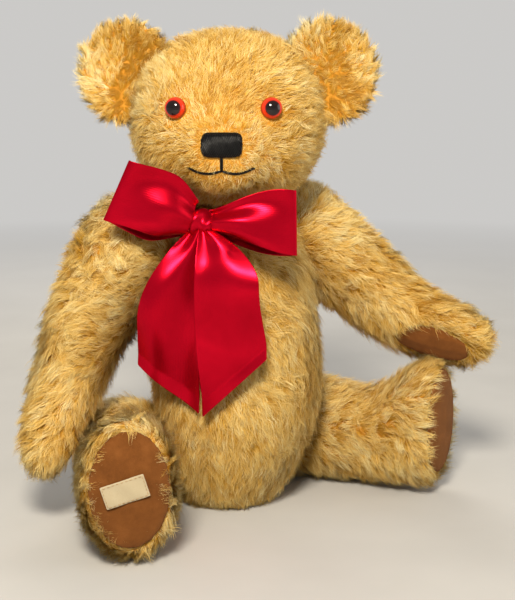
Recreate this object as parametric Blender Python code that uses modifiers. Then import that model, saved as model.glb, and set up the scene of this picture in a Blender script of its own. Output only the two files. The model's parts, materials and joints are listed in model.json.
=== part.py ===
"""A jointed mohair teddy bear, sitting, about 36 cm tall.

Metres, +Z up. The bear faces -Y and its left side is +X. The origin is on the floor, under the
neck's axis. Every cloth part is a shell with its own stuffing inside it. Head, arms and legs turn
on disc joints: on each side of the two cloths a hardboard disc and a steel washer, and one cotter
pin through all of them, its two legs curled over inside the torso.
"""

from math import asin, copysign, cos, pi, radians, sin, sqrt, tan

import bmesh
import bpy
from mathutils import Matrix, Vector
from mathutils.bvhtree import BVHTree

# Driving dimensions
CLOTH = 0.0025  # mohair backing with its lining
GAP = 0.0003  # clearance between pieces that touch
STUFFING_INSET = 0.0080  # stuffing's surface under the cloth's outer face
HEAD_POINTS = 10  # corners of one ring of the head's cage
BODY_POINTS = 8
STUFFING_DETAIL = 0.4
FLAT_MARGIN = 1.7  # a joint's flat patch to its disc
FLAT_FADE = 0.030
FLAT_REACH = 0.012  # how deep under a joint's plane the cloth is still drawn flat

HEAD_YAW = radians(-36.5)
NECK_Z = 0.2307

SHOULDER = Vector((0.050, 0.008, 0.188))
SHOULDER_TILT = radians(27)  # how far the arm's plane leans out from vertical
SHOULDER_SWEEP = radians(20)  # how far the arm's plane turns out from straight ahead
ARM_OFFSET = 0.0290  # from the joint's plane to the middle of the arm
WRIST = 0.107
PAW_BEND = radians(32)
ARM_SWING = {"left": radians(46), "right": 0.0}

HIP = Vector((0.048, 0.020, 0.041))
THIGH_REACH = 0.048  # from the hip's axis, how far the torso stays clear of the thigh
LEG_SPLAY = radians(27.5)
LEG_OFFSET = 0.0290
SOLE = 0.1430  # from the hip's axis to the sole
LEG_FLOOR = 0.0012
LEG_LIFT = {"left": radians(1.5), "right": 0.0}

NECK_DISC = 0.021
NECK_FLAT = 0.032
SHOULDER_DISC = 0.017
HIP_DISC = 0.019
DISC_THICKNESS = 0.003
DISC_SEAT = 0.0023  # between the cloth and a disc
WASHER_RADIUS = 0.008
WASHER_THICKNESS = 0.0012
PIN_WIRE = 0.0009  # radius of one leg's wire
PIN_HOLE = 0.0025
HOLE_SIDES = 8
PIN_EYE = 0.0032
PIN_CURL = 0.0034

EYE_RADIUS = 0.0078
EYE_HEIGHT = 0.299
EYE_SPACING = 0.0325  # from the face's middle to an eye
STEM_RADIUS = 0.0016
STEM_LENGTH = 0.013

EAR_RADIUS = 0.0365
EAR_THICKNESS = 0.0065
EAR_CUP = 0.011
EAR_SPREAD = 0.0705  # from the face's middle to an ear's
EAR_HEIGHT = 0.3215

NOSE_WIDTH = 0.0285
NOSE_HEIGHT = 0.0175
NOSE_Z = 0.2755
THREAD = 0.0018
MOUTH_HALF_WIDTH = 0.0230
MOUTH_Z = 0.2575

FOOT_PAD = (0.0275, 0.041)  # half across, half up
FOOT_PAD_Z = 0.054
PAW_PAD = (0.034, 0.0155)  # half along, half across
LABEL = (0.030, 0.016, 0.0009)
LABEL_PLACE = (-0.003, 0.001)  # across and up from the middle of the sole
LABEL_TURN = radians(17)

BOW_YAW = radians(-49.5)
BOW_FACING = radians(-41)
KNOT_REACH = 0.070
BAND_LONG = 0.051
BAND_WIDE = 0.0400
BAND_DIP = 0.003
BAND_THICKNESS = 0.0020
KNOT_Z = 0.2205
RIGHT_LOOP = (-0.054, 0.024, 0.0245)  # its far end from the knot: aside, forward, up
LEFT_LOOP = (0.067, 0.002, 0.001)
TAILS = {"right": (-1, 0.0215, 0.120), "left": (1, 0.0235, 0.127)}  # side, half width, outer corner's height
TAIL_TIP = 0.084
TAIL_THICKNESS = 0.0022

SIDES = {"left": 1, "right": -1}

UP = Vector((0, 0, 1))


def clear_scene():
    for obj in list(bpy.data.objects):
        bpy.data.objects.remove(obj, do_unlink=True)


def new_collection(name):
    made = bpy.data.collections.new(name)
    bpy.context.scene.collection.children.link(made)
    return made


def new_material(name, colour, roughness, metallic=0.0):
    made = bpy.data.materials.new(name)
    made.use_nodes = True
    made.diffuse_color = (*colour, 1)
    shader = made.node_tree.nodes["Principled BSDF"]
    shader.inputs["Base Color"].default_value = (*colour, 1)
    shader.inputs["Roughness"].default_value = roughness
    shader.inputs["Metallic"].default_value = metallic
    return made


clear_scene()
BEAR = new_collection("teddy_bear")
CUTTERS = new_collection("cutters")

MOHAIR = new_material("mohair", (0.62, 0.36, 0.11), 0.85)
WOOL = new_material("stuffing", (0.82, 0.78, 0.70), 0.95)
FELT = new_material("felt", (0.27, 0.095, 0.03), 0.95)
THREAD_BLACK = new_material("thread", (0.012, 0.010, 0.012), 0.6)
EYE_GLASS = new_material("eye", (0.45, 0.06, 0.01), 0.08)
HARDBOARD = new_material("hardboard", (0.30, 0.18, 0.09), 0.8)
STEEL = new_material("steel", (0.55, 0.55, 0.56), 0.35, 1.0)
SATIN = new_material("satin", (0.42, 0.004, 0.018), 0.35)
TAPE = new_material("label", (0.75, 0.66, 0.48), 0.8)


def level(yaw):
    """The horizontal direction that yaw turns straight ahead into; a minus turns it to the bear's right."""
    return Vector((sin(yaw), -cos(yaw), 0))


def set_apart(obj, collection, material=None):
    """Puts an object in its collection; a cutter is drawn as wire and left out of renders."""
    for old in list(obj.users_collection):
        old.objects.unlink(obj)
    collection.objects.link(obj)
    if collection is CUTTERS:
        obj.hide_render = True
        obj.display_type = "WIRE"
    if material:
        obj.data.materials.clear()
        obj.data.materials.append(material)
    return obj


def mesh_object(name, mesh, collection=None, material=None):
    return set_apart(bpy.data.objects.new(name, mesh), collection or CUTTERS, material)


def bm_object(name, bm, collection=None, material=None):
    bmesh.ops.recalc_face_normals(bm, faces=bm.faces)
    mesh = bpy.data.meshes.new(name)
    bm.to_mesh(mesh)
    bm.free()
    return mesh_object(name, mesh, collection, material)


def baked_mesh(obj):
    """The mesh that an object's modifiers make, in world space."""
    bpy.context.view_layer.update()
    evaluated = obj.evaluated_get(bpy.context.evaluated_depsgraph_get())
    mesh = bpy.data.meshes.new_from_object(evaluated)
    mesh.transform(obj.matrix_world)
    return mesh


def smooth(obj, angle=50):
    obj.data.shade_smooth()
    obj.data.set_sharp_from_angle(angle=radians(angle))
    return obj


def on_pivot(objects, pivot):
    """Parents objects to an empty and leaves them where they are."""
    for obj in objects:
        obj.parent = pivot
        obj.matrix_parent_inverse = Matrix.Translation(-pivot.location)


def new_pivot(name, point):
    pivot = bpy.data.objects.new(name, None)
    pivot.empty_display_size = 0.02
    pivot.location = point
    BEAR.objects.link(pivot)
    return pivot


# Soft forms


def section(centre, across, up, half_across, half_up, fullness=2.0, count=BODY_POINTS):
    """One ring of a cage: an ellipse, or with more fullness a rounder-cornered box."""
    swell = 8 / (6 + 2 * cos(2 * pi / count))  # makes up for what subdivision takes off a ring
    points = []
    for i in range(count):
        angle = 2 * pi * i / count
        x = copysign(abs(cos(angle)) ** (2 / fullness), cos(angle)) * half_across * swell
        y = copysign(abs(sin(angle)) ** (2 / fullness), sin(angle)) * half_up * swell
        points.append(centre + across * x + up * y)
    return points


def loft(name, rings, start, end, levels=1):
    """A closed cage through rings of equal count, from one pole to the other, subdivided."""
    bm = bmesh.new()
    rows = [[bm.verts.new(point) for point in ring] for ring in rings]
    count = len(rows[0])
    poles = bm.verts.new(start), bm.verts.new(end)
    for i in range(count):
        j = (i + 1) % count
        bm.faces.new((poles[0], rows[0][j], rows[0][i]))
        bm.faces.new((poles[1], rows[-1][i], rows[-1][j]))
        for low, high in zip(rows, rows[1:]):
            bm.faces.new((low[i], low[j], high[j], high[i]))
    form = bm_object(name, bm)
    rounding = form.modifiers.new("rounding", "SUBSURF")
    rounding.levels = levels
    rounding.render_levels = levels
    return form


def press_flat(mesh, point, normal, radius=0.0, reach=None):
    """Moves what stands beyond a plane back onto it, and brings a round patch near point onto it too.

    With a reach, what stands beyond the plane is let go again further than that from point.
    """
    for vertex in mesh.vertices:
        beyond = (vertex.co - point).dot(normal)
        aside = (vertex.co - point - normal * beyond).length
        if beyond > 0 or (aside < radius and beyond > -FLAT_REACH):
            hold = 1.0 if reach is None else min(1.0, max(0.0, 1 - (aside - reach) / FLAT_FADE))
            vertex.co -= normal * (beyond * hold)


def pressed_form(cage, planes):
    """The cage's rounded surface, pressed flat against each (point, normal, radius)."""
    mesh = baked_mesh(cage)
    bpy.data.objects.remove(cage)
    for plane in planes:
        press_flat(mesh, *plane)
    return mesh_object(mesh.name, mesh)


def boolean(obj, operation, other, name="cut"):
    step = obj.modifiers.new(name, "BOOLEAN")
    step.operation = operation
    step.object = other
    step.solver = "EXACT"
    return step


def make_shell(name, form, cutters, material=MOHAIR):
    shell = mesh_object(name, form.data.copy(), BEAR, material)
    wall = shell.modifiers.new("wall", "SOLIDIFY")
    wall.thickness = CLOTH
    wall.offset = -1
    wall.use_even_offset = True
    for cutter in cutters:
        boolean(shell, "DIFFERENCE", cutter)
    return smooth(shell)


def make_stuffing(name, form, cutters):
    stuffing = mesh_object(name, form.data.copy(), BEAR, WOOL)
    inset = stuffing.modifiers.new("inset", "DISPLACE")
    inset.mid_level = 0
    inset.strength = -STUFFING_INSET
    plain = stuffing.modifiers.new("plain", "DECIMATE")
    plain.ratio = STUFFING_DETAIL
    for cutter in cutters:
        boolean(stuffing, "DIFFERENCE", cutter)
    return smooth(stuffing)


def make_patch(name, form, low, high, outline, material):
    """A piece of a form's surface inside an outline, from low to high over the surface."""
    patch = mesh_object(name, form.data.copy(), BEAR, material)
    lift = patch.modifiers.new("lift", "DISPLACE")
    lift.mid_level = 0
    lift.strength = high
    wall = patch.modifiers.new("wall", "SOLIDIFY")
    wall.thickness = high - low
    wall.offset = -1
    boolean(patch, "INTERSECT", outline)
    return smooth(patch)


def facing(direction, up=UP):
    """A rotation whose +Z looks along a direction and whose +Y is as near up as it can be."""
    z = direction.normalized()
    x = up.cross(z)
    if x.length < 1e-6:
        x = Vector((1, 0, 0))
    x.normalize()
    return Matrix((x, z.cross(x), z)).transposed()


def cylinder(name, start, end, radius, segments=24, collection=None, material=None):
    """A closed cylinder from one point to another."""
    bm = bmesh.new()
    length = (end - start).length
    bmesh.ops.create_cone(
        bm, cap_ends=True, segments=segments, radius1=radius, radius2=radius, depth=length
    )
    obj = bm_object(name, bm, collection, material)
    turn = facing(end - start, Vector((0.03, 0.01, 1)))
    obj.matrix_world = Matrix.Translation((start + end) / 2) @ turn.to_4x4()
    return obj


def prism(name, outline, place, depth):
    """A closed prism on a 2D outline in a place's XY plane, half its depth to each side."""
    bm = bmesh.new()
    face = bm.faces.new([bm.verts.new((x, y, -depth / 2)) for x, y in outline])
    pushed = bmesh.ops.extrude_face_region(bm, geom=[face])
    corners = [item for item in pushed["geom"] if isinstance(item, bmesh.types.BMVert)]
    bmesh.ops.translate(bm, verts=corners, vec=(0, 0, depth))
    obj = bm_object(name, bm)
    obj.matrix_world = place
    return obj


def oval(half_x, half_y, count=18, fullness=2.0):
    return [
        (
            copysign(abs(cos(2 * pi * i / count)) ** (2 / fullness), cos(2 * pi * i / count)) * half_x,
            copysign(abs(sin(2 * pi * i / count)) ** (2 / fullness), sin(2 * pi * i / count)) * half_y,
        )
        for i in range(count)
    ]


# Disc joints


def ring_plate(name, centre, axis, radius, thickness, segments, material):
    """A disc or washer with the pin's hole, its middle at centre."""
    half = axis * (thickness / 2)
    plate = cylinder(name, centre - half, centre + half, radius, segments, BEAR, material)
    hole = cylinder(name + "_hole", centre - 4 * half, centre + 4 * half, PIN_HOLE, HOLE_SIDES)
    boolean(plate, "DIFFERENCE", hole)
    return smooth(plate, 40)


def arc(centre, radius, start, end, count):
    """Points of an arc in a plane, as (along x, along y)."""
    return [
        (
            centre[0] + radius * cos(start + (end - start) * i / (count - 1)),
            centre[1] + radius * sin(start + (end - start) * i / (count - 1)),
        )
        for i in range(count)
    ]


def cotter_pin(name, point, axis, head, fold):
    """A folded wire: an eye beyond head on the limb's side, two legs curled over below fold."""
    side = PIN_WIRE * 1.12
    lean = asin(side / PIN_EYE)
    eye_z = head + PIN_WIRE + PIN_EYE * cos(lean)
    curl = arc((side + PIN_CURL, -fold - PIN_WIRE - 0.0002), PIN_CURL, pi * 1.9, pi, 6)
    eye = arc((0, eye_z), PIN_EYE, -pi / 2 + lean, 1.5 * pi - lean, 7)
    path = curl + eye + [(-x, y) for x, y in reversed(curl)]
    data = bpy.data.curves.new(name, "CURVE")
    data.dimensions = "3D"
    data.bevel_depth = PIN_WIRE
    data.bevel_resolution = 1
    data.use_fill_caps = True
    spline = data.splines.new("POLY")
    spline.points.add(len(path) - 1)
    for spot, (x, y) in zip(spline.points, path):
        spot.co = (x, 0, y, 1)
    pin = set_apart(bpy.data.objects.new(name, data), BEAR)
    data.materials.append(STEEL)
    pin.matrix_world = Matrix.Translation(point) @ facing(axis, Vector((0.02, 0.3, 1))).to_4x4()
    return pin


def disc_joint(name, point, axis, radius):
    """Makes one joint's five pieces and its cutters. The axis points from the torso to the limb."""
    cloth_face = GAP + CLOTH
    disc = cloth_face + DISC_SEAT + DISC_THICKNESS / 2
    washer = disc + DISC_THICKNESS / 2 + GAP + WASHER_THICKNESS / 2
    stack = washer + WASHER_THICKNESS / 2 + GAP
    plates = {}
    for side, sign in (("limb", 1), ("torso", -1)):
        plates[side] = [
            ring_plate(
                f"{name}_{side}_disc", point + axis * disc * sign, axis, radius, DISC_THICKNESS, 20, HARDBOARD
            ),
            ring_plate(
                f"{name}_{side}_washer",
                point + axis * washer * sign,
                axis,
                WASHER_RADIUS,
                WASHER_THICKNESS,
                12,
                STEEL,
            ),
        ]
    plates["limb"].append(cotter_pin(name + "_cotter_pin", point, axis, stack, stack))
    depth = stack + 2 * PIN_EYE + 4 * PIN_WIRE + 0.001
    cutters = {
        "hole": cylinder(
            name + "_hole", point - axis * 2 * cloth_face, point + axis * 2 * cloth_face, PIN_HOLE, HOLE_SIDES
        ),
        "limb_pocket": cylinder(
            name + "_limb_pocket", point - axis * 0.001, point + axis * depth, radius + 0.0012, 16
        ),
        "torso_pocket": cylinder(
            name + "_torso_pocket", point - axis * depth, point + axis * 0.001, radius + 0.0012, 16
        ),
    }
    return plates, cutters


# Torso

TORSO_RINGS = (  # height, half across, half front to back, forward offset
    (-0.004, 0.030, 0.032, -0.006),
    (0.010, 0.041, 0.043, -0.005),
    (0.032, 0.0525, 0.0550, -0.002),
    (0.070, 0.0660, 0.0650, 0.003),
    (0.110, 0.067, 0.064, 0.003),
    (0.142, 0.064, 0.059, 0.001),
    (0.167, 0.0640, 0.0590, -0.002),
    (0.190, 0.0560, 0.051, -0.003),
    (0.212, 0.042, 0.041, -0.002),
    (0.232, 0.031, 0.031, 0.000),
)


def shoulder_frame(side):
    """Its joint's point and outward axis, and the directions a hanging and a forward arm take."""
    s = SIDES[side]
    point = Vector((s * SHOULDER.x, SHOULDER.y, SHOULDER.z))
    flat = Vector((s * cos(SHOULDER_SWEEP), sin(SHOULDER_SWEEP), 0))
    outward = flat * cos(SHOULDER_TILT) + UP * sin(SHOULDER_TILT)
    hanging = flat * sin(SHOULDER_TILT) - UP * cos(SHOULDER_TILT)
    forward = Vector((s * sin(SHOULDER_SWEEP), -cos(SHOULDER_SWEEP), 0))
    return point, outward, hanging, forward


def hip_frame(side):
    """Its joint's point, outward axis, and the direction the leg points in."""
    s = SIDES[side]
    point = Vector((s * HIP.x, HIP.y, HIP.z))
    outward = Vector((s * cos(LEG_SPLAY), sin(LEG_SPLAY), 0))
    along = Vector((s * sin(LEG_SPLAY), -cos(LEG_SPLAY), 0))
    return point, outward, along


def torso_form():
    rings = [
        section(Vector((0, -forward, z)), Vector((1, 0, 0)), Vector((0, 1, 0)), across, deep, 2.15)
        for z, across, deep, forward in TORSO_RINGS
    ]
    cage = loft("torso_form", rings, Vector((0, 0, -0.010)), Vector((0, 0, 0.240)))
    planes = [(Vector((0, 0, 0)), -UP), (Vector((0, 0, NECK_Z - GAP)), UP, NECK_FLAT)]
    for side in SIDES:
        point, outward = shoulder_frame(side)[:2]
        planes.append((point - outward * GAP, outward, SHOULDER_DISC * FLAT_MARGIN))
        point, outward = hip_frame(side)[:2]
        planes.append((point - outward * GAP, outward, HIP_DISC * FLAT_MARGIN, THIGH_REACH))
    return pressed_form(cage, planes)


# Head: rings from the muzzle's tip to the back

HEAD_RINGS = (  # forward, half across, half up, height of its middle
    (0.0835, 0.0150, 0.0135, 0.2690),
    (0.0765, 0.0245, 0.0215, 0.2660),
    (0.0650, 0.0300, 0.0250, 0.2665),
    (0.0570, 0.0450, 0.0390, 0.2780),
    (0.0430, 0.0590, 0.0520, 0.2855),
    (0.0180, 0.0690, 0.0610, 0.2890),
    (-0.0120, 0.0700, 0.0630, 0.2890),
    (-0.0380, 0.0590, 0.0540, 0.2880),
    (-0.0540, 0.0370, 0.0350, 0.2880),
)


def head_form():
    front = level(HEAD_YAW)
    across = UP.cross(front)
    rings = [
        section(front * forward + UP * z, across, UP, wide, high, 2.35, HEAD_POINTS)
        for forward, wide, high, z in HEAD_RINGS
    ]
    cage = loft("head_form", rings, front * 0.0865 + UP * 0.269, front * -0.061 + UP * 0.289)
    return pressed_form(cage, [(Vector((0, 0, NECK_Z + GAP)), -UP, NECK_FLAT)])


# Arms

ARM_RINGS = (  # along the path from the shoulder, half in the arm's plane, half through it, outward shift
    (-0.0260, 0.0230, 0.0230, -0.002),
    (-0.0120, 0.0330, 0.0320, 0.000),
    (0.0120, 0.0355, 0.0335, 0.001),
    (0.0480, 0.0330, 0.0305, 0.002),
    (0.0850, 0.0300, 0.0265, 0.001),
    (0.1180, 0.0270, 0.0230, -0.003),
    (0.1530, 0.0245, 0.0200, -0.005),
    (0.1770, 0.0170, 0.0150, -0.006),
)
PAW_TIP = 0.1860


def arm_point(side, distance):
    """A point on an arm's middle line and the line's direction there: straight, then bent at the wrist."""
    point, outward, hanging, forward = shoulder_frame(side)
    swing = ARM_SWING[side]
    upper = hanging * cos(swing) + forward * sin(swing)
    lower = hanging * cos(swing + PAW_BEND) + forward * sin(swing + PAW_BEND)
    centre = point + outward * ARM_OFFSET
    if distance <= WRIST:
        return centre + upper * distance, upper
    return centre + upper * WRIST + lower * (distance - WRIST), lower


def arm_form(side):
    point, outward, _, _ = shoulder_frame(side)
    rings = []
    for distance, wide, deep, shift in ARM_RINGS:
        centre, along = arm_point(side, distance)
        centre += outward * shift
        if abs(distance - WRIST) < 0.022:
            before, after = arm_point(side, WRIST - 0.01)[1], arm_point(side, WRIST + 0.01)[1]
            share = (distance - WRIST) / 0.044 + 0.5
            along = (before * (1 - share) + after * share).normalized()
        rings.append(section(centre, along.cross(outward), outward, wide, deep, 2.3))
    top = arm_point(side, -0.0340)[0]
    tip = arm_point(side, PAW_TIP)[0] + outward * ARM_RINGS[-1][3]
    cage = loft(f"arm_form_{side}", rings, top, tip)
    return pressed_form(cage, [(point + outward * GAP, -outward, SHOULDER_DISC * FLAT_MARGIN)])


def paw_pad_place(side):
    """The middle of the paw, looking out of its palm, with X along the paw."""
    _, outward, _, _ = shoulder_frame(side)
    centre, along = arm_point(side, WRIST + 0.040)
    palm = -outward
    centre += outward * ARM_RINGS[-2][3]
    place = Matrix((along, palm.cross(along), palm)).transposed().to_4x4()
    return Matrix.Translation(centre + palm * 0.022) @ place


# Legs

LEG_RINGS = (  # along the leg, half across, half up, height of its middle
    (-0.0270, 0.0230, 0.0270, 0.0385),
    (-0.0120, 0.0320, 0.0370, 0.0400),
    (0.0120, 0.0335, 0.0395, 0.0410),
    (0.0450, 0.0325, 0.0370, 0.0395),
    (0.0800, 0.0300, 0.0325, 0.0370),
    (0.1020, 0.0300, 0.0395, 0.0440),
    (0.1180, 0.0315, 0.0480, 0.0530),
    (0.1330, 0.0320, 0.0490, 0.0540),
    (0.1385, 0.0270, 0.0420, 0.0540),
)


def leg_form(side):
    point, outward, along = hip_frame(side)
    rings = []
    for distance, wide, high, z in LEG_RINGS:
        centre = point + outward * LEG_OFFSET + along * distance
        centre.z = z + distance * tan(LEG_LIFT[side])
        rings.append(section(centre, outward, UP, wide, high, 2.25))
    heel = point + outward * LEG_OFFSET - along * 0.034
    sole = point + outward * LEG_OFFSET + along * (SOLE + 0.0005)
    heel.z, sole.z = 0.037, FOOT_PAD_Z + SOLE * tan(LEG_LIFT[side])
    cage = loft(f"leg_form_{side}", rings, heel, sole)
    planes = [(Vector((0, 0, LEG_FLOOR)), -UP), (point + outward * GAP, -outward, HIP_DISC * FLAT_MARGIN)]
    return pressed_form(cage, planes)


def sole_place(side):
    """The middle of the sole, looking out of it, with Y up."""
    point, outward, along = hip_frame(side)
    centre = point + outward * LEG_OFFSET + along * SOLE
    centre.z = FOOT_PAD_Z + SOLE * tan(LEG_LIFT[side])
    return Matrix.Translation(centre) @ facing(along).to_4x4()


# Building the bear


def build_limb(kind, side, form, joint, pad_outline, pad_place, pivot):
    """Shell, stuffing and pad of an arm or a leg."""
    plates, cutters = joint
    depth = 0.016
    window = prism(
        f"{kind}_{side}_window", oval(pad_outline[0] + GAP, pad_outline[1] + GAP), pad_place, depth
    )
    outline = prism(f"{kind}_{side}_pad_outline", oval(*pad_outline), pad_place, depth)
    shell = make_shell(f"{kind}_{side}_shell", form, [cutters["hole"], window])
    stuffing = make_stuffing(f"{kind}_{side}_stuffing", form, [cutters["limb_pocket"]])
    name = f"paw_pad_{side}" if kind == "arm" else f"foot_pad_{side}"
    pad = make_patch(name, form, -CLOTH, 0.0, outline, FELT)
    on_pivot([shell, stuffing, pad, *plates["limb"]], pivot)
    return pad


def foot_label(pad_form, pivot):
    """A small woven label on the right foot's pad, a little tilted."""
    place = sole_place("right")
    tree = BVHTree.FromObject(pad_form, bpy.context.evaluated_depsgraph_get())
    out = place.to_3x3() @ Vector((0, 0, 1))
    centre = place @ Vector((*LABEL_PLACE, 0))
    hit = tree.ray_cast(centre + out * 0.03, -out)[0]
    bm = bmesh.new()
    bmesh.ops.create_cube(bm, size=1, matrix=Matrix.Diagonal((*LABEL, 1)))
    label = bm_object("foot_label", bm, BEAR, TAPE)
    label.matrix_world = (
        Matrix.Translation(hit + out * (GAP + LABEL[2] / 2 + 0.0003))
        @ place.to_3x3().to_4x4()
        @ Matrix.Rotation(LABEL_TURN, 4, "Z")
    )
    on_pivot([label], pivot)


def build_ear(side, form, pivot):
    """A cupped round of mohair, trimmed to the head's surface."""
    s = SIDES[side]
    front = level(HEAD_YAW)
    across = UP.cross(front)
    bm = bmesh.new()
    bmesh.ops.create_uvsphere(bm, u_segments=16, v_segments=9, radius=1)
    for vertex in bm.verts:
        x, y, z = vertex.co
        spread = x * x + y * y
        deep = z * EAR_THICKNESS * sqrt(1.05 - 0.55 * spread)
        vertex.co = Vector((x * EAR_RADIUS, y * EAR_RADIUS, deep + EAR_CUP * spread))
    ear = bm_object(f"ear_{side}", bm, BEAR, MOHAIR)
    out = (front * 0.93 + across * s * 0.30 + UP * 0.10).normalized()
    centre = across * s * EAR_SPREAD + UP * EAR_HEIGHT + front * 0.002
    ear.matrix_world = Matrix.Translation(centre) @ facing(out).to_4x4()
    trim = mesh_object(f"ear_{side}_trim", form.data.copy())
    swell = trim.modifiers.new("swell", "DISPLACE")
    swell.mid_level = 0
    swell.strength = GAP * 1.5
    boolean(ear, "DIFFERENCE", trim)
    smooth(ear)
    on_pivot([ear], pivot)


def build_eye(side, tree, pivot):
    """A domed eye on its stem, and the locking washer behind the cloth."""
    s = SIDES[side]
    front = level(HEAD_YAW)
    across = UP.cross(front)
    start = across * s * EYE_SPACING + UP * EYE_HEIGHT + front * 0.2
    spot = tree.ray_cast(start, -front)[0]
    out = (front + across * s * 0.22 + UP * 0.06).normalized()
    seat = spot + out * 0.0034
    bm = bmesh.new()
    profile = arc((0, -0.0022), EYE_RADIUS, pi / 2, radians(18), 5)
    profile += [(EYE_RADIUS * 0.93, -0.0012), (STEM_RADIUS, -0.0018), (STEM_RADIUS, -STEM_LENGTH)]
    profile += [(0, -STEM_LENGTH)]
    spots = [bm.verts.new((x if x > 1e-6 else 0.0, 0, y)) for x, y in profile]
    for a, b in zip(spots, spots[1:]):
        bm.edges.new((a, b))
    eye = mesh_object(f"eye_{side}", bpy.data.meshes.new(f"eye_{side}"), BEAR, EYE_GLASS)
    bm.to_mesh(eye.data)
    bm.free()
    turned = eye.modifiers.new("turned", "SCREW")
    turned.steps = 14
    turned.render_steps = 14
    turned.use_merge_vertices = True
    turned.merge_threshold = 0.00005
    turned.use_normal_calculate = True
    place = Matrix.Translation(seat) @ facing(out).to_4x4()
    eye.matrix_world = place
    bore = cylinder(f"eye_{side}_bore", seat - out * 0.016, seat + out * 0.010, STEM_RADIUS + GAP * 1.5, 8)
    dent = cylinder(f"eye_{side}_dent", seat - out * 0.0022, seat + out * 0.012, EYE_RADIUS + GAP, 24)
    at = seat - out * 0.0092
    washer = cylinder(f"eye_washer_{side}", at - out * 0.0006, at + out * 0.0006, 0.0055, 12, BEAR, STEEL)
    boolean(washer, "DIFFERENCE", bore)
    smooth(washer, 40)
    pocket = cylinder(f"eye_{side}_pocket", seat - out * 0.017, seat + out * 0.004, 0.0072, 12)
    on_pivot([eye, washer], pivot)
    return bore, dent, pocket


def nose_and_mouth(form, pivot):
    """Black thread: a padded block of stitches, and a stem with a shallow smile on each side."""
    front = level(HEAD_YAW)
    face = facing(front).to_4x4()
    nose_place = Matrix.Translation(front * 0.080 + UP * NOSE_Z) @ face
    nose_outline = prism("nose_outline", oval(NOSE_WIDTH / 2, NOSE_HEIGHT / 2, 20, 4.5), nose_place, 0.05)
    nose = make_patch("nose_stitching", form, GAP, THREAD + GAP, nose_outline, THREAD_BLACK)
    half = THREAD / 2
    steps = 6
    top = NOSE_Z - NOSE_HEIGHT / 2 - GAP - MOUTH_Z
    line = []
    for i in range(steps + 1):
        share = i / steps
        line.append((MOUTH_HALF_WIDTH * share, -0.0015 * sin(pi * min(share * 1.25, 1)) + 0.003 * share**5))
    outline = [(half, top)] + [(x, y + half) for x, y in line if x > half]
    outline += [(x, y - half) for x, y in reversed(line)]
    outline += [(-x, y - half) for x, y in line[1:]] + [(-x, y + half) for x, y in reversed(line) if x > half]
    outline += [(-half, top)]
    mouth_place = Matrix.Translation(front * 0.080 + UP * MOUTH_Z) @ face
    mouth_outline = prism("mouth_outline", outline, mouth_place, 0.05)
    mouth = make_patch("mouth_stitching", form, GAP, THREAD * 0.8 + GAP, mouth_outline, THREAD_BLACK)
    on_pivot([nose, mouth], pivot)


# The ribbon


def strip_solid(name, middle, widths, thickness, normals):
    """A closed flat strip along middle points, with its width direction and face normal at each."""
    bm = bmesh.new()
    rows = []
    for centre, (side, half), normal in zip(middle, widths, normals):
        across, lift = side * half, normal * (thickness / 2)
        corners = (-across - lift, across - lift, across + lift, lift - across)
        rows.append([bm.verts.new(centre + corner) for corner in corners])
    for low, high in zip(rows, rows[1:]):
        for i in range(4):
            j = (i + 1) % 4
            bm.faces.new((low[i], low[j], high[j], high[i]))
    bm.faces.new(rows[0])
    bm.faces.new(rows[-1])
    return bm_object(name, bm)


def neck_band():
    """A gathered band round the neck, drawn forward and down to the knot."""
    bm = bmesh.new()
    count = 28
    centre = level(BOW_YAW) * 0.0115
    rows = []
    for i in range(count):
        angle = 2 * pi * i / count
        forward, aside = cos(angle), sin(angle)
        spoke = level(BOW_YAW) * forward + UP.cross(level(BOW_YAW)) * aside
        reach = level(BOW_YAW) * forward * BAND_LONG + UP.cross(level(BOW_YAW)) * aside * BAND_WIDE
        middle = centre + reach + UP * (NECK_Z - 0.0025 - BAND_DIP * forward)
        half = 0.0026 + 0.0008 * forward
        corners = ((0, -half), (BAND_THICKNESS, -half), (BAND_THICKNESS, half), (0, half))
        rows.append([bm.verts.new(middle + spoke * r + UP * z) for r, z in corners])
    for i in range(count):
        low, high = rows[i], rows[(i + 1) % count]
        for a in range(4):
            b = (a + 1) % 4
            bm.faces.new((low[a], low[b], high[b], high[a]))
    return bm_object("ribbon_band", bm)


def bow_loop(name, knot, end, top, thick):
    """A puffed wedge that widens from the knot to the fold of its loop."""
    out = end - knot
    reach = out.length
    out.normalize()
    face = level(BOW_FACING)
    face = (face - out * face.dot(out)).normalized()
    up = face.cross(out)
    if up.z < 0:
        up = -up
    rings = []
    for share, high, deep in ((0.06, 0.30, 0.45), (0.3, 0.55, 0.8), (0.65, 0.86, 1.0), (0.93, 1.0, 0.7)):
        centre = knot + out * (reach * share) + face * (0.004 * sin(pi * share))
        rings.append(section(centre, face, up, thick * deep, top * high, 2.6))
    return loft(name, rings, knot + out * (reach * 0.02), end + out * 0.001)


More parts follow.
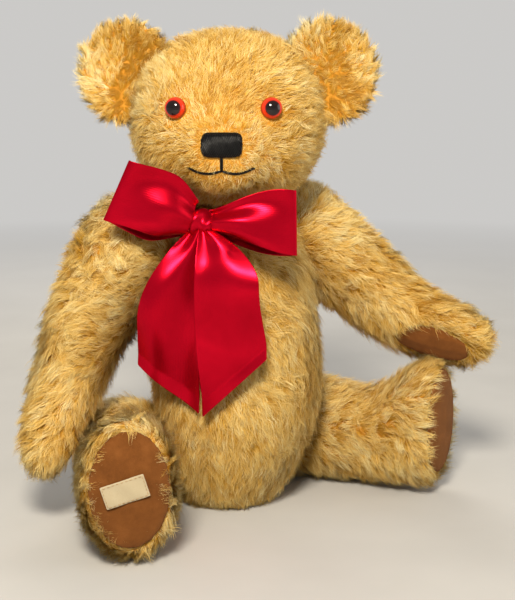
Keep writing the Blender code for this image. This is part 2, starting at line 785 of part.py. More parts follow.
def build_ribbon():
    """One length of satin: the band, the knot, two loops and two tails, joined."""
    knot = level(BOW_YAW) * KNOT_REACH + UP * KNOT_Z
    face = level(BOW_FACING)
    across = UP.cross(face)
    band = neck_band()
    centre = section(knot, across, UP, 0.0100, 0.0105, 2.6)
    rings = [[p + face * f for p in centre] for f in (-0.0055, 0.0055)]
    block = loft("ribbon_knot", rings, knot - face * 0.0090, knot + face * 0.0090)
    loops = []
    for side, end, top, thick in (("right", RIGHT_LOOP, 0.0215, 0.0075), ("left", LEFT_LOOP, 0.0230, 0.0080)):
        far = knot + across * end[0] + face * end[1] + UP * end[2]
        loops.append(bow_loop(f"ribbon_loop_{side}", knot, far, top, thick))
    tails = []
    for side_name, (s, wide, corner) in TAILS.items():
        middle, widths, normals = [], [], []
        for i in range(8):
            share = i / 7
            half = 0.0055 + (wide - 0.0055) * min(1, share * 1.25) ** 0.8
            drop = 0.004 + (KNOT_Z - 0.004 - (TAIL_TIP + corner) / 2) * share
            inner = 0.0006 + 0.0008 * share
            out_of_knot = 0.0045 + 0.008 * sin(pi * min(1, share * 1.1)) - 0.001 * share
            slant = (corner - TAIL_TIP) / (2 * wide) * share**2
            side = across * s + UP * slant
            middle.append(knot + across * s * (half + inner) - UP * drop + face * out_of_knot)
            widths.append((side, half))
            normals.append(face)
        tails.append(strip_solid(f"ribbon_tail_{side_name}", middle, widths, TAIL_THICKNESS, normals))
    ribbon = mesh_object("neck_ribbon", band.data.copy(), BEAR, SATIN)
    for piece in (block, *loops, *tails):
        boolean(ribbon, "UNION", piece, "join")
    bpy.data.objects.remove(band)
    return smooth(ribbon, 40)


def build():
    torso = torso_form()
    head = head_form()
    pivots = {"head": new_pivot("neck_pivot", Vector((0, 0, NECK_Z)))}
    joints = {"head": disc_joint("neck", Vector((0, 0, NECK_Z)), UP, NECK_DISC)}
    for side in SIDES:
        point, outward = shoulder_frame(side)[:2]
        pivots["arm", side] = new_pivot(f"shoulder_pivot_{side}", point)
        joints["arm", side] = disc_joint(f"shoulder_{side}", point, outward, SHOULDER_DISC)
        point, outward = hip_frame(side)[:2]
        pivots["leg", side] = new_pivot(f"hip_pivot_{side}", point)
        joints["leg", side] = disc_joint(f"hip_{side}", point, outward, HIP_DISC)

    make_shell("torso_shell", torso, [cutters["hole"] for _, cutters in joints.values()])
    make_stuffing("torso_stuffing", torso, [cutters["torso_pocket"] for _, cutters in joints.values()])

    for side in SIDES:
        form = arm_form(side)
        build_limb(
            "arm", side, form, joints["arm", side], PAW_PAD, paw_pad_place(side), pivots["arm", side]
        )
        form = leg_form(side)
        build_limb(
            "leg", side, form, joints["leg", side], FOOT_PAD, sole_place(side), pivots["leg", side]
        )
        if side == "right":
            bpy.context.view_layer.update()
            foot_label(form, pivots["leg", side])

    bpy.context.view_layer.update()
    tree = BVHTree.FromObject(head, bpy.context.evaluated_depsgraph_get())
    plates, cutters = joints["head"]
    holes, pockets = [cutters["hole"]], [cutters["limb_pocket"]]
    for side in SIDES:
        build_ear(side, head, pivots["head"])
        bore, dent, pocket = build_eye(side, tree, pivots["head"])
        holes += [bore, dent]
        pockets.append(pocket)
    nose_and_mouth(head, pivots["head"])
    shell = make_shell("head_shell", head, holes)
    stuffing = make_stuffing("head_stuffing", head, pockets)
    on_pivot([shell, stuffing, *plates["limb"]], pivots["head"])
    build_ribbon()


build()
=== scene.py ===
"""The looks of the jointed teddy bear: mohair pile, felt pads, thread, glass eyes and a satin bow.

The skins under the pile are grown from the frame's own solids, so every piece sits where the frame
says. Metres, +Z up; the torso faces -Y.
"""

import json
from math import cos, pi, radians, sin, sqrt

import bmesh
import bpy
import numpy as np
from mathutils import Matrix, Vector
from mathutils.bvhtree import BVHTree
from mathutils.kdtree import KDTree


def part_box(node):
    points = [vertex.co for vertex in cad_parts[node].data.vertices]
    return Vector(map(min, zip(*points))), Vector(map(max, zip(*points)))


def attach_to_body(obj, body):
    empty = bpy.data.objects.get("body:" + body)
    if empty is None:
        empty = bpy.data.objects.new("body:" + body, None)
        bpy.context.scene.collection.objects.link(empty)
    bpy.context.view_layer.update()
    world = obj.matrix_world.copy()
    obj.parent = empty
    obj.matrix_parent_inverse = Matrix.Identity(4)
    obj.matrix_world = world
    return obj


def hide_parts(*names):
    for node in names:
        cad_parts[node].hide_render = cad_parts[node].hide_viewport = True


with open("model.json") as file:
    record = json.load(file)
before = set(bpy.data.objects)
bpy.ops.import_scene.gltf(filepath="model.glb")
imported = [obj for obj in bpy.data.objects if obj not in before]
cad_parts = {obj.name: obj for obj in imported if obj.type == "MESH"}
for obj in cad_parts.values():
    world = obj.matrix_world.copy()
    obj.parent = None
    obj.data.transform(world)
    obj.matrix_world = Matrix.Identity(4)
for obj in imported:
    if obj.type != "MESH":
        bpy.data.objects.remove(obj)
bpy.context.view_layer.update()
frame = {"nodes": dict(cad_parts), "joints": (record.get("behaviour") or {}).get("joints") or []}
NODES = frame["nodes"]
JOINTS = {joint["name"]: joint for joint in frame["joints"]}
UP = Vector((0, 0, 1))
SIDES = {"left": 1, "right": -1}

# Skins and pile
SKIN_VOXEL = 0.0028
SKIN_REACH = 0.015  # the most that a skin grows out of its stuffing
EAR_VOXEL = 0.0018
PAD_VOXEL = 0.0011
NOSE_VOXEL = 0.0009
WOOL_VOXEL = 0.0035
RAY_STEP = 0.0001  # past a face that a ray has met
PAD_CLEARANCE = 0.0022  # how far a skin stays under its pad
STRAND_TAPER = (0.9, 1.0, 0.75, 0.3)  # from root to tip
PILE_STEPS = len(STRAND_TAPER) - 1
STRAND_HALF_WIDTH = (0.00011, 0.00019)
PILE_WAVE = 0.0018
PILE_DENSITY = 1.7e6  # strands per square metre
MOST_STRANDS = 38000  # in one piece
BODY_PILE = 0.0150  # length, on the torso and the limbs
HEAD_PILE = 0.0125
EAR_PILE = 0.0110
FLOOR_CLEAR = 0.0006

# Face
EYE_RADIUS = 0.0076
EYE_DOME = 0.86  # height of an eye's front, in radii
EYE_BACK = 0.30
NOSE_WIDTH = 0.0285
NOSE_SLANT = -0.45  # of its threads, across per up
THREAD_SPACING = 0.00120
THREAD_SIDES = 6
NOSE_THREAD = (0.00055, 0.00085)  # least and most radius
MOUTH_DROP_THREAD = 0.00062
MOUTH_CURVE_THREAD = 0.00058
MOUTH_Z = 0.2575
MOUTH_RIGHT = 0.0245  # how far each half of the mouth goes
MOUTH_LEFT = 0.0225

# Bow
BOW_YAW = radians(-49.5)  # where the knot sits round the neck
BOW_FACING = radians(-41)  # the way the bow looks
KNOT_REACH = 0.070  # from the neck's axis
KNOT_Z = 0.2205
KNOT_TILT = 0.30
KNOT_HALF_WIDE = 0.0092
KNOT_HALF_HIGH = 0.0092
KNOT_HALF_DEEP = 0.0096
BAND_HALF_LONG = 0.0522  # towards the knot
BAND_HALF_WIDE = 0.0412
BAND_FORWARD = 0.0115
BAND_BELOW_JOINT = 0.0025
TAIL_START = 0.004  # below the knot's middle
TAIL_ROOT = 0.0045  # half its width there
TAIL_TIP = 0.084  # height of the tails' tips
CLOTH_THICKNESS = 0.0004
LABEL_HEM = 0.0012  # from the label's edge to its stitches
LABEL_THREAD = 0.00022

# Camera and studio
CAMERA_TURN = radians(-34.6)
CAMERA_DIP = radians(10.7)
CAMERA_PLACE = (1.01, 0.0215, 0.344)  # towards it, across and up from the origin
CAMERA_LENS = 82  # mm
FLOOR_HALF = 30.0
FLOOR_BELOW = 0.0004
AMBIENT = 0.36
BACKDROP = (0.60, 0.59, 0.575)
LIGHT_AIM = (0, 0, 0.17)
LIGHTS = (  # name, place, diameter, watts, colour
    ("key", (-0.75, -0.95, 1.05), 0.34, 34, (1.0, 0.91, 0.76)),
    ("fill", (1.1, -1.0, 0.5), 1.0, 5, (1.0, 0.94, 0.86)),
    ("rim", (0.5, 1.0, 0.9), 0.8, 9, (1.0, 0.93, 0.82)),
)

NECK_Z = JOINTS["neck_turn"]["pos_m"][2]


def heading(yaw):
    """The level direction that yaw turns straight ahead into; a minus turns it to the bear's right."""
    return Vector((sin(yaw), -cos(yaw), 0))


def middle(node):
    low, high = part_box(node)
    return (low + high) / 2


def level(vector):
    return Vector((vector.x, vector.y, 0)).normalized()


FACE = level(middle("nose_stitching"))  # the way the head looks
FACE_SIDE = UP.cross(FACE)  # towards the bear's left
KNOT = heading(BOW_YAW) * KNOT_REACH + UP * KNOT_Z
BOW_FACE = heading(BOW_FACING)
BOW_SIDE = UP.cross(BOW_FACE)


# Materials


class Shader:
    """A short way to write a node material."""

    def __init__(self, name):
        self.material = bpy.data.materials.new(name)
        self.material.use_nodes = True
        self.tree = self.material.node_tree
        self.principled = self.tree.nodes["Principled BSDF"]

    def node(self, kind, inputs=None, **settings):
        made = self.tree.nodes.new(kind)
        for key, value in settings.items():
            setattr(made, key, value)
        for key, value in (inputs or {}).items():
            self.put(made.inputs[key], value)
        return made

    def put(self, socket, value):
        if isinstance(value, bpy.types.NodeSocket):
            self.tree.links.new(value, socket)
        else:
            socket.default_value = value

    def set(self, **inputs):
        for key, value in inputs.items():
            self.put(self.principled.inputs[key.replace("_", " ")], value)
        return self

    def place(self):
        return self.node("ShaderNodeTexCoord").outputs["Object"]

    def noise(self, scale, detail=3.0, roughness=0.55, distortion=0.0):
        inputs = {"Scale": scale, "Detail": detail, "Roughness": roughness, "Distortion": distortion}
        inputs["Vector"] = self.place()
        return self.node("ShaderNodeTexNoise", inputs).outputs["Fac"]

    def ramp(self, factor, stops):
        made = self.node("ShaderNodeValToRGB", {"Fac": factor})
        steps = made.color_ramp.elements
        while len(steps) < len(stops):
            steps.new(0.5)
        for step, (at, colour) in zip(steps, stops):
            step.position = at
            step.color = (*colour, 1)
        return made.outputs["Color"]

    def mix(self, factor, a, b):
        made = self.node("ShaderNodeMix", data_type="RGBA")
        self.put(made.inputs["Factor"], factor)
        self.put(made.inputs["A"], a if isinstance(a, bpy.types.NodeSocket) else (*a, 1))
        self.put(made.inputs["B"], b if isinstance(b, bpy.types.NodeSocket) else (*b, 1))
        return made.outputs["Result"]

    def maths(self, operation, a, b=0.0):
        return self.node("ShaderNodeMath", {0: a, 1: b}, operation=operation).outputs[0]

    def vector(self, operation, a, b, output="Vector"):
        made = self.node("ShaderNodeVectorMath", {0: a, 1: b}, operation=operation)
        return made.outputs[output]

    def bump(self, height, strength, distance):
        inputs = {"Height": height, "Strength": strength, "Distance": distance}
        return self.set(Normal=self.node("ShaderNodeBump", inputs).outputs["Normal"])


def pile_material(name, root, mid, tip, dark, pale):
    """Mohair fibre. The UV holds how far along its strand a point is, and the strand's own shade."""
    s = Shader(name)
    spot = s.node("ShaderNodeUVMap", uv_map="OFBake").outputs["UV"]
    parts = s.node("ShaderNodeSeparateXYZ", {"Vector": spot})
    along, shade = parts.outputs["X"], parts.outputs["Y"]
    colour = s.ramp(along, [(0.0, root), (0.38, mid), (1.0, tip)])
    colour = s.mix(s.ramp(shade, [(0.0, (0.9, 0.9, 0.9)), (0.48, (0, 0, 0))]), colour, dark)
    colour = s.mix(s.ramp(shade, [(0.52, (0, 0, 0)), (1.0, (0.9, 0.9, 0.9))]), colour, pale)
    s.set(Base_Color=colour, Roughness=0.50, Specular_IOR_Level=0.22, Specular_Tint=(1.0, 0.80, 0.48, 1))
    s.set(Sheen_Weight=0.10, Sheen_Roughness=0.45, Sheen_Tint=(1.0, 0.80, 0.45, 1))
    # A strand is flat, so it's lit by the pile's own normal, turned a little to the viewer at the rim.
    normal = s.node("ShaderNodeAttribute", attribute_name="pile_normal").outputs["Vector"]
    world = s.node("ShaderNodeVectorTransform", {"Vector": normal})
    world.vector_type = "NORMAL"
    world.convert_from = "OBJECT"
    world.convert_to = "WORLD"
    eye = s.node("ShaderNodeNewGeometry").outputs["Incoming"]
    facing = s.vector("DOT_PRODUCT", world.outputs[0], eye, "Value")
    short = s.maths("MAXIMUM", s.maths("SUBTRACT", 0.35, facing), 0.0)
    towards = s.node("ShaderNodeVectorMath", {0: eye}, operation="SCALE")
    s.put(towards.inputs["Scale"], short)
    turned = s.vector("ADD", world.outputs[0], towards.outputs[0])
    s.set(Normal=s.node("ShaderNodeVectorMath", {0: turned}, operation="NORMALIZE").outputs[0])
    through = s.node("ShaderNodeBsdfTranslucent", {"Color": colour})
    both = s.node("ShaderNodeMixShader", {0: 0.30, 1: s.principled.outputs[0], 2: through.outputs[0]})
    s.put(s.tree.nodes["Material Output"].inputs["Surface"], both.outputs[0])
    return s.material


def skin_material(name, low, high):
    """The woven backing that shows between the locks, coloured dark so that it also paints the shade in the
    gaps.
    """
    s = Shader(name)
    s.set(Base_Color=s.ramp(s.noise(160, 4), [(0.3, low), (0.7, high)]), Roughness=0.95)
    s.set(Specular_IOR_Level=0.1)
    s.bump(s.noise(900, 2), 0.5, 0.0006)
    return s.material


def felt_material():
    """Wool felt: matted fibres, a soft mottle and pale stray hairs."""
    s = Shader("brown_wool_felt")
    mottle = s.noise(75, 5, 0.65)
    browns = [(0.28, (0.070, 0.021, 0.003)), (0.5, (0.110, 0.035, 0.006)), (0.74, (0.165, 0.056, 0.012))]
    colour = s.ramp(mottle, browns)
    fibres = s.noise(1500, 4, 0.7, distortion=1.2)
    colour = s.mix(s.maths("MULTIPLY", fibres, 0.35), colour, (0.30, 0.11, 0.030))
    s.set(Base_Color=colour, Roughness=0.95, Specular_IOR_Level=0.05)
    s.set(Sheen_Weight=0.14, Sheen_Roughness=0.6, Sheen_Tint=(0.8, 0.5, 0.3, 1))
    s.bump(s.maths("ADD", fibres, s.noise(420, 3)), 0.55, 0.0005)
    return s.material


def thread_material():
    s = Shader("black_thread")
    twist = s.noise(2600, 2, 0.6, distortion=0.6)
    s.set(Base_Color=s.ramp(twist, [(0.3, (0.0015, 0.0014, 0.0014)), (0.75, (0.006, 0.0055, 0.0055))]))
    s.set(Roughness=0.30, Specular_IOR_Level=0.20)
    s.bump(twist, 0.35, 0.0002)
    return s.material


def satin_material():
    """Crimson satin: smooth across, with fine ribs that stretch its highlight."""
    s = Shader("crimson_satin")
    uv = s.node("ShaderNodeUVMap", uv_map="weave").outputs["UV"]
    ribs = s.node("ShaderNodeTexWave", {"Vector": uv, "Scale": 220.0, "Distortion": 0.3, "Detail": 1.0})
    ribs.bands_direction = "X"
    cloud = s.noise(28, 3)
    colour = s.ramp(cloud, [(0.3, (0.42, 0.0010, 0.012)), (0.7, (0.54, 0.0018, 0.017))])
    s.set(Base_Color=colour, Roughness=0.30, Metallic=0.80, Specular_IOR_Level=0.25)
    s.set(Anisotropic=0.55, Specular_Tint=(1.0, 0.45, 0.50, 1))
    s.bump(s.maths("ADD", ribs.outputs["Fac"], s.noise(900, 2)), 0.10, 0.0002)
    return s.material


def eye_material(axis_point, axis):
    """An orange iris round a dark pupil, both under clear gloss. The rings follow the eye's axis."""
    s = Shader("eye_glass")
    offset = s.vector("SUBTRACT", s.place(), axis_point)
    along = s.vector("DOT_PRODUCT", offset, axis, "Value")
    reach = s.node("ShaderNodeVectorMath", {0: offset}, operation="LENGTH").outputs["Value"]
    away = s.maths("SUBTRACT", s.maths("MULTIPLY", reach, reach), s.maths("MULTIPLY", along, along))
    radius = s.maths("MULTIPLY", s.maths("SQRT", s.maths("MAXIMUM", away, 0.0)), 1 / EYE_RADIUS)
    streaks = s.noise(900, 3, 0.6, distortion=0.5)
    edge = s.maths("ADD", radius, s.maths("MULTIPLY", s.maths("SUBTRACT", streaks, 0.5), 0.05))
    rings = [
        (0.0, (0.004, 0.002, 0.002)),
        (0.60, (0.012, 0.004, 0.003)),
        (0.67, (0.09, 0.006, 0.002)),
        (0.73, (0.55, 0.020, 0.004)),
        (0.88, (0.72, 0.036, 0.008)),
        (1.0, (0.30, 0.010, 0.004)),
    ]
    s.set(Base_Color=s.ramp(edge, rings), Roughness=0.10, Specular_IOR_Level=0.3)
    s.set(Coat_Weight=0.5, Coat_Roughness=0.02, Coat_IOR=1.4)
    return s.material


def tape_material():
    """Cream woven tape with its warp and weft showing."""
    s = Shader("woven_tape")
    spot = s.place()
    checks = [
        s.node("ShaderNodeTexWave", {"Vector": spot, "Scale": 620.0}, bands_direction=way).outputs["Fac"]
        for way in ("X", "Z")
    ]
    weave = s.maths("MULTIPLY", checks[0], checks[1])
    colour = s.mix(weave, (0.40, 0.33, 0.21), (0.58, 0.52, 0.37))
    colour = s.mix(s.maths("MULTIPLY", s.noise(240, 3), 0.4), colour, (0.36, 0.27, 0.15))
    s.set(Base_Color=colour, Roughness=0.85, Specular_IOR_Level=0.2)
    s.bump(weave, 0.5, 0.0002)
    return s.material


def board_material():
    s = Shader("hardboard")
    s.set(Base_Color=s.ramp(s.noise(700, 5), [(0.3, (0.16, 0.085, 0.035)), (0.7, (0.30, 0.17, 0.08))]))
    s.set(Roughness=0.75)
    s.bump(s.noise(1400, 3), 0.4, 0.0002)
    return s.material


def steel_material():
    s = Shader("zinc_steel")
    s.set(Base_Color=s.ramp(s.noise(420, 4), [(0.3, (0.42, 0.43, 0.45)), (0.7, (0.62, 0.63, 0.64))]))
    s.set(Metallic=1.0, Roughness=s.maths("MULTIPLY", s.noise(900, 3), 0.6))
    return s.material


def label_thread_material():
    s = Shader("label_thread")
    s.set(Base_Color=s.ramp(s.noise(900), [(0.3, (0.30, 0.17, 0.07)), (0.7, (0.45, 0.28, 0.13))]))
    s.set(Roughness=0.7)
    return s.material


def paper_material():
    """Pale paper that fades into the backdrop away from the bear."""
    s = Shader("pale_paper")
    away = s.node("ShaderNodeVectorMath", {0: s.place()}, operation="LENGTH").outputs["Value"]
    grain = s.ramp(s.noise(9, 3), [(0.3, (0.46, 0.455, 0.445)), (0.7, (0.49, 0.485, 0.475))])
    far = s.ramp(s.maths("MULTIPLY", away, 0.1), [(0.06, (0, 0, 0)), (0.17, (1, 1, 1))])
    s.set(Base_Color=s.mix(far, grain, (0, 0, 0)), Emission_Color=s.mix(far, (0, 0, 0), BACKDROP))
    s.set(Emission_Strength=1.0, Specular_IOR_Level=0.0, Roughness=0.9)
    return s.material


def wool_material():
    s = Shader("wool_stuffing")
    s.set(Base_Color=s.ramp(s.noise(120, 5), [(0.3, (0.62, 0.57, 0.48)), (0.7, (0.84, 0.80, 0.72))]))
    s.set(Roughness=0.95, Sheen_Weight=0.3)
    s.bump(s.noise(500, 4, distortion=1.5), 0.8, 0.001)
    return s.material


# Meshes


def new_object(name, mesh, material=None):
    made = bpy.data.objects.new(name, mesh)
    bpy.context.scene.collection.objects.link(made)
    if material:
        mesh.materials.clear()
        mesh.materials.append(material)
    return made


def evaluated_mesh(obj):
    bpy.context.view_layer.update()
    mesh = bpy.data.meshes.new_from_object(obj.evaluated_get(bpy.context.evaluated_depsgraph_get()))
    mesh.transform(obj.matrix_world)
    return mesh


def from_bmesh(name, bm, material=None):
    mesh = bpy.data.meshes.new(name)
    bm.to_mesh(mesh)
    bm.free()
    mesh.shade_smooth()
    return new_object(name, mesh, material)


def remeshed(name, bm, voxel):
    """The surface of a bmesh laid out again in even quads, as a bmesh."""
    solid = from_bmesh(name + "_rough", bm)
    remesh = solid.modifiers.new("remesh", "REMESH")
    remesh.mode = "VOXEL"
    remesh.voxel_size = voxel
    even = bmesh.new()
    even.from_mesh(evaluated_mesh(solid))
    bpy.data.objects.remove(solid)
    return even


def remeshed_node(name, voxel):
    bm = bmesh.new()
    bm.from_mesh(NODES[name].data)
    return remeshed(name, bm, voxel)


def relax(bm, rounds):
    every_axis = {f"use_axis_{axis}": True for axis in "xyz"}
    for _ in range(rounds):
        bmesh.ops.smooth_vert(bm, verts=bm.verts, factor=0.5, **every_axis)


def evened(reach):
    """The same lengths by vertex, each averaged with its neighbours'."""
    smooth = {}
    for vertex, far in reach.items():
        others = [reach[edge.other_vert(vertex)] for edge in vertex.link_edges]
        smooth[vertex] = (far + sum(others)) / (1 + len(others))
    return smooth


def grown_skin(name, core, cover, material, under=()):
    """The outside of some hollow cloth: its stuffing, blown out until it meets the cloth's far face.

    The skin stays a little way below the nodes of `under`, which show as pieces of their own.
    """
    bm = remeshed_node(core, SKIN_VOXEL)
    bm.normal_update()
    wall = tree_of(NODES[cover])
    patches = [tree_of(NODES[node]) for node in under]
    reach = {}
    for vertex in bm.verts:
        spot, far = vertex.co, 0.0
        while far < SKIN_REACH:
            start = spot + vertex.normal * (far + RAY_STEP)
            hit = wall.ray_cast(start, vertex.normal, SKIN_REACH - far)
            if hit[0] is None:
                break
            far += hit[3] + RAY_STEP
        reach[vertex] = far or None
    usual = float(np.median([far for far in reach.values() if far]))
    reach = {vertex: far or usual for vertex, far in reach.items()}
    for _ in range(3):
        reach = evened(reach)
    for vertex, far in reach.items():
        vertex.co += vertex.normal * far
    relax(bm, 2)
    bm = remeshed(name, bm, SKIN_VOXEL)
    relax(bm, 4)
    bm.normal_update()
    for vertex in bm.verts:
        for patch in patches:
            hit = patch.find_nearest(vertex.co, PAD_CLEARANCE)
            if hit[0] is not None:
                vertex.co -= vertex.normal * PAD_CLEARANCE
                break
    return from_bmesh(name, bm, material)


def tree_of(obj):
    return BVHTree.FromObject(obj, bpy.context.evaluated_depsgraph_get())


def arrays_of(mesh):
    """(points, normals, triangles) of a mesh as arrays."""
    mesh.calc_loop_triangles()
    points = np.empty(len(mesh.vertices) * 3)
    mesh.vertices.foreach_get("co", points)
    normals = np.empty(len(mesh.vertices) * 3)
    mesh.vertex_normals.foreach_get("vector", normals)
    corners = np.empty(len(mesh.loop_triangles) * 3, np.int32)
    mesh.loop_triangles.foreach_get("vertices", corners)
    return points.reshape(-1, 3), normals.reshape(-1, 3), corners.reshape(-1, 3)


def unit(vectors):
    return vectors / np.maximum(np.linalg.norm(vectors, axis=-1, keepdims=True), 1e-9)


# Mohair


def no_painted_shade(points):
    return 0.0


def scatter(mesh, count, rng):
    """Even random places on a mesh: (points, normals)."""
    points, normals, corners = arrays_of(mesh)
    a, b, c = (points[corners[:, i]] for i in range(3))
    area = np.linalg.norm(np.cross(b - a, c - a), axis=1)
    pick = np.searchsorted(np.cumsum(area) / area.sum(), rng.random(count))
    pick = np.minimum(pick, len(corners) - 1)
    u, v = rng.random(count), rng.random(count)
    flip = u + v > 1
    u[flip], v[flip] = 1 - u[flip], 1 - v[flip]
    share = np.stack([1 - u - v, u, v], 1)[..., None]
    spots = (points[corners[pick]] * share).sum(1)
    return spots, unit((normals[corners[pick]] * share).sum(1))


def nearest(sources, points):
    tree = KDTree(len(sources))
    for i, source in enumerate(sources):
        tree.insert(source, i)
    tree.balance()
    return np.array([tree.find(point)[1] for point in points])


def tangent(vectors, normals):
    return unit(vectors - normals * (vectors * normals).sum(1, keepdims=True))


def swirl(points, seed, size):
    """A smooth random direction at each point, which turns over about `size`."""
    rng = np.random.default_rng(seed)
    total = np.zeros_like(points)
    for _ in range(6):
        wave = rng.normal(0, 1, 3) / size
        total += np.sin(points @ wave + rng.uniform(0, 2 * pi))[:, None] * unit(rng.normal(0, 1, 3))
    return total / 2


def strand_mesh(name, paths, widths, wide, normals, shade, material):
    """Tapered flat strands through paths (count, steps, 3), ending in a point."""
    count, steps, _ = paths.shape
    side = widths[:, None, :] * wide[:, :, None]
    left, right = paths[:, :-1] - side[:, :-1], paths[:, :-1] + side[:, :-1]
    points = np.concatenate([np.stack([left, right], 2).reshape(count, -1, 3), paths[:, -1:]], 1)
    each = points.shape[1]
    base = (np.arange(count) * each)[:, None]
    quads = np.array([[2 * i, 2 * i + 1, 2 * i + 3, 2 * i + 2] for i in range(steps - 2)]).reshape(-1)
    tip = np.array([each - 3, each - 2, each - 1])
    loops = (base + np.concatenate([quads, tip])[None]).reshape(-1)
    sizes = np.tile(np.array([4] * (steps - 2) + [3]), count)
    starts = np.concatenate([[0], np.cumsum(sizes)[:-1]])
    mesh = bpy.data.meshes.new(name)
    mesh.vertices.add(count * each)
    mesh.vertices.foreach_set("co", points.reshape(-1).astype(np.float32))
    mesh.loops.add(len(loops))
    mesh.loops.foreach_set("vertex_index", loops.astype(np.int32))
    mesh.polygons.add(len(sizes))
    mesh.polygons.foreach_set("loop_start", starts.astype(np.int32))
    mesh.update(calc_edges=True)
    along = np.append(np.repeat(np.arange(steps - 1), 2), steps - 1) / (steps - 1)
    uv = np.stack([np.tile(along, (count, 1)), np.repeat(shade[:, None], each, 1)], 2).reshape(-1, 2)
    layer = mesh.uv_layers.new(name="OFBake")
    layer.data.foreach_set("uv", uv[loops].reshape(-1).astype(np.float32))
    attribute = mesh.attributes.new("pile_normal", "FLOAT_VECTOR", "POINT")
    attribute.data.foreach_set("vector", np.repeat(normals, each, 0).reshape(-1).astype(np.float32))
    mesh.shade_smooth()
    return new_object(name, mesh, material)


def grow_pile(name, skin, count, length, flow, keep, material, seed, lift=0.60, clump=0.0048, painted_shade=no_painted_shade):
    """Wavy mohair on a skin: locks of strands that lean along a flow and draw together at their tips.

    flow(points, normals) gives each place's combing direction, keep(points, normals) a length factor,
    0 where nothing grows, and a last function, of points, the painted shade that is added to the strands'
    shade.
    lift is how much a strand stands up, and clump the usual distance between locks.
    """
    rng = np.random.default_rng(seed)
    area = sum(polygon.area for polygon in skin.data.polygons)
    roots, normals = scatter(skin.data, count, rng)
    locks, lock_normals = scatter(skin.data, int(area / clump**2), rng)

    # Each strand belongs to the nearest lock.
    factor = keep(roots, normals)
    chosen = factor > 0.10
    roots, normals, factor = roots[chosen], normals[chosen], factor[chosen]
    lock = nearest(locks, roots)
    n_lock = len(locks)
    lock_flow = tangent(flow(locks, lock_normals) + rng.normal(0, 0.30, (n_lock, 3)), lock_normals)
    lock_length = rng.uniform(0.72, 1.22, n_lock)
    lock_lift = lift * rng.uniform(0.55, 1.35, n_lock)
    lock_phase = rng.uniform(0, 2 * pi, n_lock)
    lock_pull = rng.uniform(0.18, 0.52, n_lock)
    lock_shade = 0.5 + 0.24 * swirl(locks, seed + 50, 0.011)[:, 0] + rng.normal(0, 0.17, n_lock)

    # A strand rises, bends over along the combing and waves sideways.
    combed = tangent(lock_flow[lock] + rng.normal(0, 0.15, roots.shape), normals)
    aside = np.cross(normals, combed)
    long = length * factor * lock_length[lock] * rng.uniform(0.62, 1.15, len(roots))
    up = lock_lift[lock] * rng.uniform(0.85, 1.15, len(roots))
    t = np.linspace(0, 1, PILE_STEPS + 1)
    rise = (up[:, None] * (t - 0.36 * t**2))[..., None]
    run = (np.sqrt(np.maximum(1 - up**2, 0.1))[:, None] * (0.42 * t + 0.62 * t**2))[..., None]
    swing = np.sin(lock_phase[lock][:, None] + t * 4.4) - np.sin(lock_phase[lock])[:, None]
    paths = roots[:, None] + long[:, None, None] * (normals[:, None] * rise + combed[:, None] * run)
    paths += aside[:, None] * (PILE_WAVE * swing * t * factor[:, None])[..., None]

    # It's drawn towards its lock's tip, and stays above the floor.
    target = locks[lock] + (long * 0.62)[:, None] * lock_flow[lock]
    target = target + (long * up * 0.60)[:, None] * lock_normals[lock]
    pull = lock_pull[lock][:, None, None] * (t**1.5)[None, :, None]
    paths = paths + (target[:, None] - paths[:, -1:]) * pull
    paths[..., 2] = np.maximum(paths[..., 2], FLOOR_CLEAR)

    # It's a flat ribbon, turned at random, with its own width and shade; any painted shade is added to that
    # shade.
    turn = rng.uniform(-0.75, 0.75, len(roots))[:, None]
    widths = aside * np.cos(turn) + normals * np.sin(turn)
    wide = np.outer(rng.uniform(*STRAND_HALF_WIDTH, len(roots)), STRAND_TAPER)
    shade = np.clip(lock_shade[lock] + painted_shade(roots) + rng.normal(0, 0.14, len(roots)), 0, 1)
    lean = unit(normals * 0.85 + aside * np.sin(turn) * 0.25 + combed * -0.15)
    return strand_mesh(name, paths, widths, wide, lean, shade, material)


# Pieces


def attach(obj, body, node=None):
    """Gives a piece its body, and hides the frame's node whose place it takes."""
    if node:
        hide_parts(node)
    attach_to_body(obj, body)


def eye_axis(side):
    """An eye's middle and the way it looks: from its washer out through its dome."""
    node = NODES[f"eye_{side}"].data
    points = np.array([v.co for v in node.vertices])
    back = np.array(middle(f"eye_washer_{side}"))
    far = points[np.argsort(-np.linalg.norm(points - back, axis=1))[:8]].mean(0)
    axis = Vector(far - back).normalized()
    return Vector(far) - axis * EYE_RADIUS * 0.8, axis


def along_frame(axis, up=UP):
    x = up.cross(axis).normalized()
    return Matrix((x, axis.cross(x), axis)).transposed()


def build_eyes():
    for side in SIDES:
        centre, axis = eye_axis(side)
        bm = bmesh.new()
        bmesh.ops.create_uvsphere(bm, u_segments=48, v_segments=32, radius=EYE_RADIUS)
        for vertex in bm.verts:
            vertex.co.z *= EYE_DOME if vertex.co.z > 0 else EYE_BACK
        bm.transform(Matrix.Translation(centre) @ along_frame(axis).to_4x4())
        eye = from_bmesh(f"eye_{side}_glass", bm, eye_material(centre, axis))
        attach(eye, "head", f"eye_{side}")


def away_from(origin, seed, size, share):
    """A combing that runs away from a point, with locks that wander."""
    origin = np.array(origin)
    return lambda points, normals: unit(points - origin) + share * swirl(points, seed, size)


def piled(name, skin, body, density, length, flow, keep, material, seed, **settings):
    """A skin's pile, in as many pieces as keep each to a size that exports whole."""
    area = sum(polygon.area for polygon in skin.data.polygons)
    count = int(area * density * (1.0))
    split = -(-count // MOST_STRANDS)
    for i in range(split):
        label = f"{name}_{i + 1}"
        pile = grow_pile(label, skin, count // split, length, flow, keep, material, seed * 10 + i, **settings)
        attach(pile, body)


